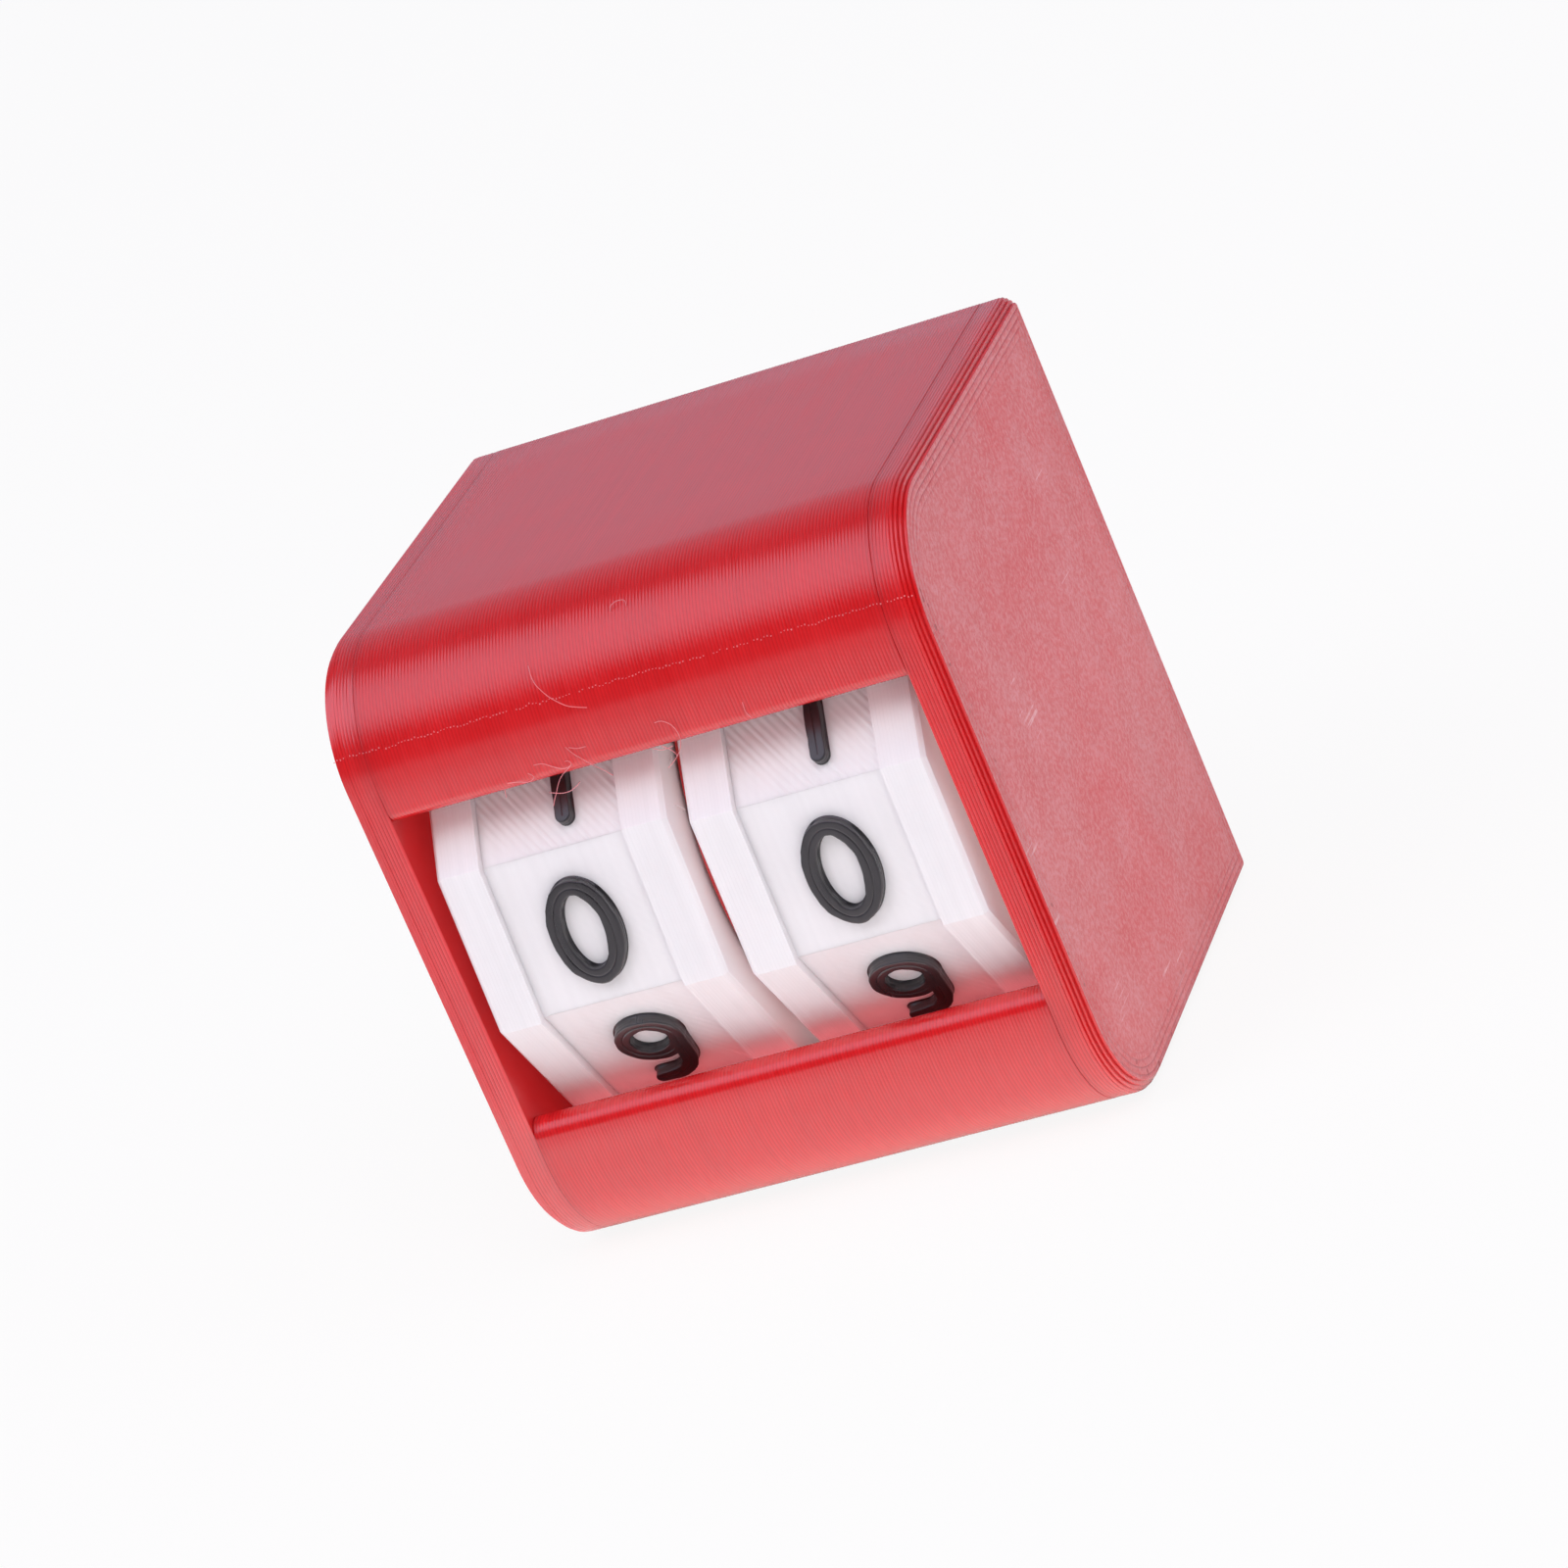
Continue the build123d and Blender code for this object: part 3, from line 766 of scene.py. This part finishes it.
red_plates = {
    side: printed_plastic(f"printed_red_{side}_plate", RED, streak=0.07, seed=5.0,
                          depth=RED_DEPTH, reach=RED_REACH, ior=ior)
    for side, ior in PLATE_INDEX.items()}
red_bed_side = bed_side_plastic()
plate_corners = (
    (BOX_FRONT, BOX_TOP, FRONT_TOP_RADIUS), (BOX_BACK, BOX_TOP, BACK_RADIUS),
    (BOX_BACK, 0, BACK_RADIUS), (BOX_FRONT, 0, FRONT_LOW_RADIUS))
for side, direction in (("left", -1), ("right", 1)):
    layers = (direction * WRAP_END, PLATE_LAYERS, direction, BEVEL_STEPS)
    plate = layered_print(f"{side}_plate_skin", plate_corners, layers, {
        "Unevenness": 0.016, "Ripple": 0.012, "Ripple Size": 3.0 * MM,
        "Seed": 60 + direction, "Plastic": red_plates[side]})
    root = direction * (WRAP_END + ROOT_DEPTH)
    rib_points, _ = rounded_outline([
        (RIB_FRONT, BOX_TOP - RIB_OUT, 0),
        (BOX_BACK - RIB_OUT, BOX_TOP - RIB_OUT, LEAST_RADIUS),
        (BOX_BACK - RIB_OUT, RIB_OUT, LEAST_RADIUS), (RIB_FRONT, RIB_OUT, 0),
        (RIB_FRONT, RIB_IN, 0), (BOX_BACK - RIB_IN, RIB_IN, LEAST_RADIUS),
        (BOX_BACK - RIB_IN, BOX_TOP - RIB_IN, LEAST_RADIUS), (RIB_FRONT, BOX_TOP - RIB_IN, 0)])
    kept = [tuple(p) for i, p in enumerate(rib_points)
            if (p - rib_points[i - 1]).length > SAME_PLACE]
    fuse(plate, plain_bar("rib", kept, direction * (WRAP_END - RIB_DEPTH), root))
    fuse(plate, plain_bar("boss", round_points(BOSS_RADIUS),
                          direction * (WRAP_END - BOSS_HEIGHT), root))
    fuse(plate, plain_bar("socket", round_points(SOCKET_RADIUS, SOCKET_FLAT),
                          direction * (WRAP_END - BOSS_HEIGHT - CUT_SPARE),
                          direction * (WRAP_END - BOSS_HEIGHT + SOCKET_DEPTH)), "DIFFERENCE")
    plate.data.set_sharp_from_angle(angle=PLATE_CREASE)
    dress(plate, red_plates[side], red_bed_side)
    bed = (WRAP_END + LAYER * PLATE_LAYERS - BED_MARGIN) * MM
    bed_side = [abs(face.center.x) > bed for face in plate.data.polygons]
    plate.data.polygons.foreach_set("material_index", [int(flat) for flat in bed_side])
    plate.data.polygons.foreach_set("use_smooth", [not flat for flat in bed_side])
    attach(plate, "housing")
    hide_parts(f"{side}_end_plate")


# --------------------
# Leftovers of the print. A dotted scar runs along the visor's rounding where every layer
# began and ended, and fine hairs that the nozzle pulled cling to the visor and the dials.
SCAR_LIFT = math.radians(18.5)
SCAR_SINK, SWAY_WAVES = 0.005, 900.0
DOT_SWAY, DOTS_LOST = 0.12, 0.1
DOT_WIDTHS, DOT_DEPTH, DOT_HEIGHTS = (0.6, 1.1), 0.55, (0.5, 1.2)
HAIR_POINTS, HAIR_SIDES, STRETCHED_RED = 28, 6, (0.80, 0.20, 0.22)
HAIRS = {
    "housing": (
        ((-4.84, -15.3, 34.7), (-4.69, -15.8, 34.05), (-4.27, -16.15, 33.4),
         (-3.65, -16.4, 32.72), (-2.98, -16.5, 32.27), (-2.15, -16.4, 31.92)),
        ((0.3, -14.02, 35.92), (0.42, -13.95, 36.22), (0.79, -13.85, 36.34),
         (1.18, -13.88, 36.26), (1.22, -14.0, 35.96)),
        ((1.11, -16.5, 30.08), (1.61, -16.56, 30.07), (2.08, -16.6, 29.66),
         (2.17, -16.55, 29.01), (1.94, -16.5, 28.36), (1.44, -16.4, 27.81),
         (0.75, -16.35, 27.38)),
        ((-4.18, -16.5, 30.16), (-3.95, -16.54, 29.73), (-3.54, -16.56, 29.22),
         (-2.99, -16.52, 28.56), (-2.35, -16.4, 27.81)),
        ((-4.02, -16.5, 30.09), (-3.56, -16.53, 29.91), (-3.09, -16.5, 29.85)),
        ((-6.35, -16.5, 29.65), (-5.8, -16.56, 29.61), (-5.39, -16.58, 29.34),
         (-4.87, -16.6, 29.06), (-4.44, -16.6, 29.05), (-4.23, -16.6, 29.19),
         (-4.37, -16.55, 29.37), (-4.57, -16.5, 29.36)),
        ((-4.3, -16.58, 29.1), (-4.79, -16.5, 28.8), (-5.3, -16.42, 28.43),
         (-5.79, -16.4, 27.8), (-6.3, -16.38, 27.05)),
        ((-6.19, -16.4, 27.86), (-5.66, -16.45, 27.71), (-5.11, -16.42, 27.64),
         (-4.63, -16.4, 27.79), (-4.32, -16.38, 27.98)),
        ((-8.19, -16.5, 29.06), (-7.57, -16.56, 28.98), (-6.96, -16.56, 28.8),
         (-6.61, -16.56, 28.93), (-6.66, -16.54, 29.11), (-6.85, -16.5, 29.26)),
        ((-8.5, -16.5, 28.74), (-8.58, -16.45, 28.5), (-8.65, -16.4, 28.28)),
        ((0.41, -16.44, 28.7), (0.88, -16.4, 28.46), (1.55, -16.45, 28.52)),
        ((0.91, -16.46, 28.73), (1.39, -16.42, 28.3), (1.56, -16.38, 27.87)),
        ((6.22, -16.5, 29.82), (6.22, -16.53, 29.31), (6.41, -16.5, 28.86)),
    ),
    "left_dial": (
        ((-0.7, -13.2, 26.3), (-0.38, -13.35, 26.5), (-0.3, -12.95, 26.7),
         (-0.66, -12.6, 26.4)),
        ((-0.7, -14.45, 24.6), (-0.3, -14.6, 24.4), (-0.34, -14.1, 24.0),
         (-0.66, -13.8, 23.9)),
    ),
}


def scar_tree():
    """Row of small flat dots along X that wanders a little round the rounding."""
    tree, given, add, calc = new_tree("Layer scar", {
        "Dots": "Int", "Spacing": "Float", "Rounding": "Float", "Centre": "Vector",
        "Lift": "Float", "Wander": "Float", "Dot Size": "Float", "Seed": "Int",
        "Plastic": "Material"})

    def chance(low, high, step):
        seed = add("FunctionNodeIntegerMath", {0: given["Seed"], 1: step}, operation="ADD")
        return add("FunctionNodeRandomValue", {
            2: low, 3: high, "ID": add("GeometryNodeInputIndex"), "Seed": seed},
            data_type="FLOAT")

    line = add("GeometryNodeMeshLine", {"Count": given["Dots"]})
    index = add("GeometryNodeInputIndex")
    half = calc("MULTIPLY_ADD", given["Dots"], 0.5, -0.5)
    x = calc("MULTIPLY", calc("SUBTRACT", index, half), given["Spacing"])
    along = add("ShaderNodeCombineXYZ", {0: x})
    sway = calc("ADD", calc("SUBTRACT", noise(add, along, SWAY_WAVES, 2.0), 0.5),
                chance(-DOT_SWAY, DOT_SWAY, 1))
    angle = calc("MULTIPLY_ADD", sway, given["Wander"], given["Lift"])
    out = calc("MULTIPLY", calc("COSINE", angle), -1.0)
    arm = add("ShaderNodeCombineXYZ", {1: out, 2: calc("SINE", angle)})
    spot = vector(add, "ADD", vector(add, "SCALE", arm, given["Rounding"]), given["Centre"])
    points = add("GeometryNodeSetPosition", {
        "Geometry": line, "Position": vector(add, "ADD", spot, along)})
    dot = add("GeometryNodeMeshIcoSphere", {"Radius": given["Dot Size"], "Subdivisions": 1})
    kept = add("FunctionNodeCompare", {0: chance(0.0, 1.0, 2), 1: DOTS_LOST},
               operation="GREATER_THAN", data_type="FLOAT")
    size = add("ShaderNodeCombineXYZ", {
        0: chance(*DOT_WIDTHS, 3), 1: DOT_DEPTH, 2: chance(*DOT_HEIGHTS, 4)})
    turn = add("ShaderNodeCombineXYZ", {0: calc("MULTIPLY", angle, -1.0)})
    dots = add("GeometryNodeInstanceOnPoints", {
        "Points": points, "Instance": dot, "Scale": size, "Selection": kept,
        "Rotation": turn})
    end_tree(given, add, dots)
    return tree


def hair_tree():
    """Thin threads along smooth paths, a little uneven along their length."""
    tree, given, add, _ = new_tree("Print hairs", {
        "Paths": "Object", "Thread Radius": "Float", "Wander": "Float", "Seed": "Int",
        "Plastic": "Material"})
    lines = add("GeometryNodeMeshToCurve", {"Mesh": shape_of(add, given["Paths"])})
    lines = add("GeometryNodeCurveSplineType", {"Curve": lines}, spline_type="CATMULL_ROM")
    lines = add("GeometryNodeResampleCurve", {"Curve": lines, "Count": HAIR_POINTS})
    sway = noise(add, add("GeometryNodeInputPosition"), SWAY_WAVES, 1.0).outputs["Color"]
    sway = vector(add, "SCALE", vector(add, "SUBTRACT", sway, (0.5, 0.5, 0.5)),
                  given["Wander"])
    lines = add("GeometryNodeSetPosition", {"Geometry": lines, "Offset": sway})
    ring = add("GeometryNodeCurvePrimitiveCircle", {
        "Resolution": HAIR_SIDES, "Radius": given["Thread Radius"]})
    threads = add("GeometryNodeCurveToMesh", {
        "Curve": lines, "Profile Curve": ring.outputs["Curve"], "Fill Caps": True})
    end_tree(given, add, threads)
    return tree


pale_red = printed_plastic("stretched_red", STRETCHED_RED, gloss=0.4, crease_shade=0.0,
                           seed=31.0, depth=0.4)
scar = settle("layer_scar", scar_tree(), {
    "Dots": 174, "Spacing": LAYER * MM, "Rounding": (FRONT_TOP_RADIUS - SCAR_SINK) * MM,
    "Centre": [0.0, (BOX_FRONT + FRONT_TOP_RADIUS) * MM, (BOX_TOP - FRONT_TOP_RADIUS) * MM],
    "Lift": SCAR_LIFT, "Wander": 0.07, "Dot Size": 0.05 * MM, "Seed": 4,
    "Plastic": pale_red})
hair_maker = hair_tree()
leftovers = [("housing", scar)]
for body, paths in HAIRS.items():
    edges, first = [], 0
    for path in paths:
        edges += [(first + k, first + k + 1) for k in range(len(path) - 1)]
        first += len(path)
    guide = guide_object("hair_paths", [p for path in paths for p in path], edges=edges)
    hairs = settle(f"{body}_hairs", hair_maker, {
        "Paths": guide, "Thread Radius": 0.021 * MM, "Wander": 0.12 * MM, "Seed": 2,
        "Plastic": pale_red if body == "housing" else white_drum})
    drop(guide)
    leftovers.append((body, hairs))
for body, piece in leftovers:
    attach(piece, body)


# --------------------
# Studio. A plain white floor in a light tent that is bright high in front, dark low in
# front, dim overhead and pale behind. Four soft lamps stand in front. The camera sees both
# plain white; in reflections the floor carries painted shade in front, but for a pale patch
# at the left and by the counter's foot.
FLOOR_HALF = 4.0
# The grey is painted shade, which only reflections of the floor in front see.
PALE_PAINT, PAINTED_SHADE_GREY, CAMERA_GLOW = (0.92, 0.9, 0.86, 1), (0.42, 0.41, 0.40, 1), 0.9
PALE_CENTRE, PALE_TO, DIM_FROM = (-0.062, -0.050, 0), 0.046, 0.088
FOOT_PALE_TO, FOOT_DIM_FROM = 5, 20
floor_mesh = bpy.data.meshes.new("floor")
floor_mesh.from_pydata([(x * FLOOR_HALF, y * FLOOR_HALF, 0) for x, y in (
    (-1, -1), (1, -1), (1, 1), (-1, 1))], [], [(0, 1, 2, 3)])
floor = stand("floor", floor_mesh)
floor_paint = bpy.data.materials.new("floor_paint")
floor_paint.use_nodes = True
tree = floor_paint.node_tree
tree.nodes.remove(tree.nodes["Principled BSDF"])
add, calc = node_tools(tree)
rays = add("ShaderNodeLightPath").outputs
unseen = calc("SUBTRACT", 1.0, rays["Is Glossy Ray"])
where = add("ShaderNodeTexCoord").outputs["Object"]
# Painted shade: for reflections only, the floor is painted grey away from a pale patch at the
# left and from the counter's foot.
away = vector(add, "DISTANCE", where, PALE_CENTRE)
at_foot = remap(add, add("ShaderNodeSeparateXYZ", {0: where}).outputs["Y"],
                (BOX_FRONT - FOOT_DIM_FROM) * MM, (BOX_FRONT - FOOT_PALE_TO) * MM)
pale_share = calc("MAXIMUM", remap(add, away, DIM_FROM, PALE_TO), at_foot)
pale_share = calc("MAXIMUM", pale_share, unseen)
matte = add("ShaderNodeBsdfDiffuse", {
    "Color": blend(add, pale_share, PAINTED_SHADE_GREY, PALE_PAINT)})
glow = add("ShaderNodeEmission", {"Color": (1, 1, 1, 1), "Strength": 1.0})
share = calc("MULTIPLY", rays["Is Camera Ray"], CAMERA_GLOW)
floor_mix = add("ShaderNodeMixShader", {0: share, 1: matte, 2: glow})
tree.links.new(floor_mix.outputs[0], tree.nodes["Material Output"].inputs["Surface"])
dress(floor, floor_paint)

# Light of the tent, by degrees from straight up: positive is forwards.
TENT_BANDS = ((-180, 0.6), (-84, 0.56), (-64, 0.47), (-44, 0.36), (-20, 0.10), (-8, 0.14),
              (2, 1.15), (36, 1.15), (47, 0.6), (57, 0.04), (94, 0.03), (99, 0.5), (180, 0.5))
TENT_TINT, TENT_SKEW = (0.98, 0.94, 1.18), 0.2
world = bpy.data.worlds.new("light_tent")
bpy.context.scene.world = world
world.use_nodes = True
tree = world.node_tree
add, calc = node_tools(tree)
heading = add("ShaderNodeSeparateXYZ", {0: add("ShaderNodeTexCoord").outputs["Generated"]})
forward = calc("MULTIPLY", heading.outputs["Y"], -1.0)
angle = calc("ARCTAN2", forward, heading.outputs["Z"])
skewed = calc("MULTIPLY_ADD", heading.outputs["X"], TENT_SKEW, angle)
bands = add("ShaderNodeValToRGB", {"Fac": remap(add, skewed, -math.pi, math.pi)})
while len(bands.color_ramp.elements) < len(TENT_BANDS):
    bands.color_ramp.elements.new(0.5)
for element, (degrees, level) in zip(bands.color_ramp.elements, TENT_BANDS):
    element.position = (degrees + 180) / 360
    element.color = (*(level * part for part in TENT_TINT), 1.0)
seen = add("ShaderNodeLightPath").outputs["Is Camera Ray"]
tree.links.new(blend(add, seen, bands, (1, 1, 1, 1)),
               tree.nodes["Background"].inputs["Color"])

LAMP_WHITE, LAMP_SIZE = (1.0, 0.97, 0.92), 0.25
SHEET_HEIGHT = 0.0003


def soft_lamp(name, place, size, power, aim=(0.0, 0.0, 0.02)):
    """Square soft box that looks at the counter."""
    lamp = bpy.data.lights.new(name, "AREA")
    lamp.shape, lamp.size, lamp.energy, lamp.color = "SQUARE", size, power, LAMP_WHITE
    made = stand(name, lamp)
    made.location = place
    made.rotation_euler = (Vector(aim) - Vector(place)).to_track_quat("-Z", "Y").to_euler()
    made.visible_camera = False
    return made


for name, place, power in (("right_lamp", (0.20, -0.30, 0.42), 0.54),
                           ("left_lamp", (-0.20, -0.30, 0.42), 0.50),
                           ("low_right_lamp", (0.30, -0.42, 0.05), 0.34),
                           ("low_left_lamp", (-0.22, -0.50, 0.06), 0.18)):
    soft_lamp(name, place, LAMP_SIZE, power).visible_glossy = False

# Two sheets of light just above the floor stand for what a white table throws back, one
# for reflections and one for matte light.
for name, y, size, power in (("floor_shine", 0.0775, 0.24, 0.1),
                             ("floor_bounce", -0.12, 0.5, 0.36)):
    bounce = soft_lamp(name, (0, y, SHEET_HEIGHT), size, power, aim=(0, y, 1))
    bounce.visible_diffuse = name == "floor_bounce"
    bounce.visible_glossy = name == "floor_shine"

# Printed walls this thin let light through. These small lamps stand for the light that
# soaks into the slits beside the dials, through the lip and through the visor's edge.
SOAKED_PINK, SOAKED_ROSE, SOAKED_RED = (1.0, 0.90, 0.88), (1.0, 0.34, 0.38), (1.0, 0.20, 0.22)
for name, shape, place, wide, tall, power, colour, turn in (
        ("left_slit_glow", "RECTANGLE", (-14.7, -2.3, 19.0), 26.0, 28.0, 0.0012,
         SOAKED_PINK, (0, 90, 0)),
        ("middle_slit_glow", "DISK", (0.5, -2.25, 19.0), 28.4, 28.4, 0.0007,
         SOAKED_PINK, (0, 90, 0)),
        ("right_slit_glow", "DISK", (15.4, -2.25, 19.0), 28.4, 28.4, 0.0008,
         SOAKED_PINK, (0, 90, 0)),
        ("lip_glow", "RECTANGLE", (0.0, -13.9, 7.4), 29.4, 2.0, 0.00025,
         SOAKED_RED, (126, 0, 0)),
        ("visor_glow", "RECTANGLE", (0.0, -15.1, 28.5), 29.4, 0.7, 0.00006,
         SOAKED_ROSE, (0, 0, 0))):
    glow = soft_lamp(name, Vector(place) * MM, wide * MM, power)
    glow.data.shape, glow.data.size_y, glow.data.color = shape, tall * MM, colour
    glow.rotation_euler = [math.radians(angle) for angle in turn]
    glow.visible_glossy = False

LENS, SENSOR = 150.74, 36.0
CAMERA_PLACE = (0.134970, -0.320515, 0.136091)
CAMERA_LOOK, CAMERA_UP = (-0.368622, 0.872897, -0.319638), (0.250308, 0.424358, 0.870210)
view = bpy.data.cameras.new("camera")
view.sensor_width, view.lens = SENSOR, LENS
view.clip_start, view.clip_end = 0.01, 20.0
camera = stand("camera", view)
look = Vector(CAMERA_LOOK).normalized()
right = look.cross(Vector(CAMERA_UP)).normalized()
up = right.cross(look).normalized()
camera.matrix_world = Matrix((
    *((right[i], up[i], -look[i], CAMERA_PLACE[i]) for i in range(3)), (0, 0, 0, 1)))
bpy.context.scene.camera = camera
bpy.context.scene.view_settings.view_transform = "Standard"
